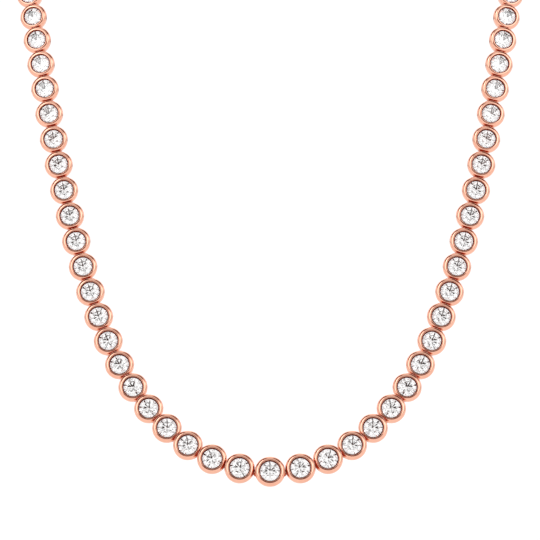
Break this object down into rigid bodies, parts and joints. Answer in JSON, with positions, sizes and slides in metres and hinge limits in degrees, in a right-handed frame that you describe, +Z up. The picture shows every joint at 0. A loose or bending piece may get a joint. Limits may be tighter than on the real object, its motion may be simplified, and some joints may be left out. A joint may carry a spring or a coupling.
{
  "type": "riviere necklace",
  "caption": "Rose gold riviere necklace in its worn shape: bezel-set round brilliant stones linked edge to edge all round the neck, with a barrel clasp at the nape",
  "frame": {"origin": "The middle of the barrel clasp, where the worn necklace rests on the nape", "axes": "+Z up, the front of the necklace hangs at -Y and low, +X is to the right of someone who looks at the front; the halves mirror each other in X"},
  "size_m": [0.1084, 0.1133, 0.1137],
  "materials": {
    "rose_gold": "mirror-polished rose gold",
    "stone": "faceted colourless stone, polished"
  },
  "bodies": {
    "root": {"settings_left": "rose_gold", "settings_right": "rose_gold", "stones_left": "stone", "stones_right": "stone", "clasp": "rose_gold"}
  },
  "joints": []
}
